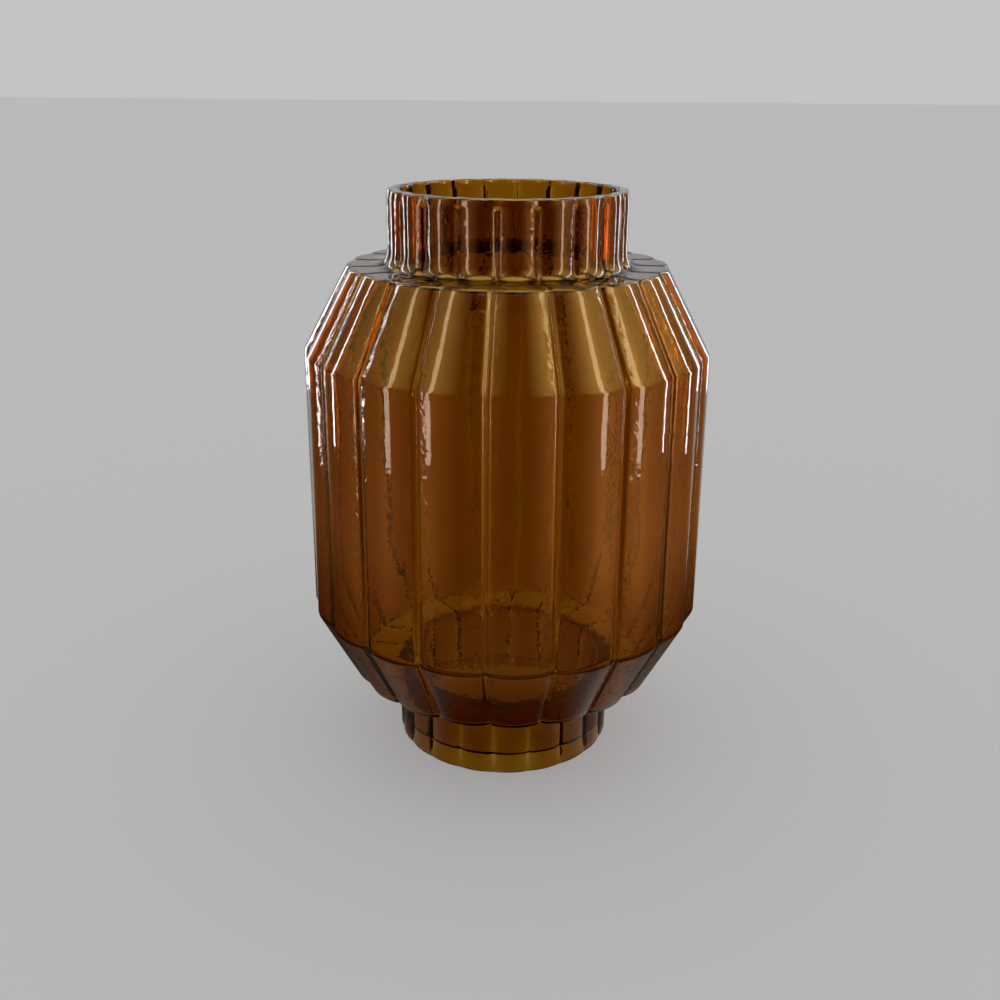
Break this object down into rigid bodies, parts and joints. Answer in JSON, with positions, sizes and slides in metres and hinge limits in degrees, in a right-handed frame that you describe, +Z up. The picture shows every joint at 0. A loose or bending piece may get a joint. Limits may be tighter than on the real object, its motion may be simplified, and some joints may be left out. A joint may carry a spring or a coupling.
{
  "type": "vase",
  "caption": "Round footed vase of amber glass with gently rounded upright panels, a chamfered body, stepped shoulder and short wide neck.",
  "frame": {"origin": "centre of the ring that the vase stands on, on the plane of that ring", "axes": "+Z up along the vase's axis, towards the mouth; -Y faces the viewer, and a groove stands 4.8 degrees to the -X side of it"},
  "size_m": [0.2006, 0.2006, 0.2872],
  "materials": {
    "amber_glass": "fire-polished transparent amber glass, slightly wavy from hand blowing"
  },
  "bodies": {
    "root": {"rim_lip": "amber_glass", "neck_collar": "amber_glass", "shoulder_ledge": "amber_glass", "shoulder_slope": "amber_glass", "body_wall": "amber_glass", "base_slope": "amber_glass", "base_ledge": "amber_glass", "foot_ring": "amber_glass", "foot_floor": "amber_glass"}
  },
  "joints": []
}
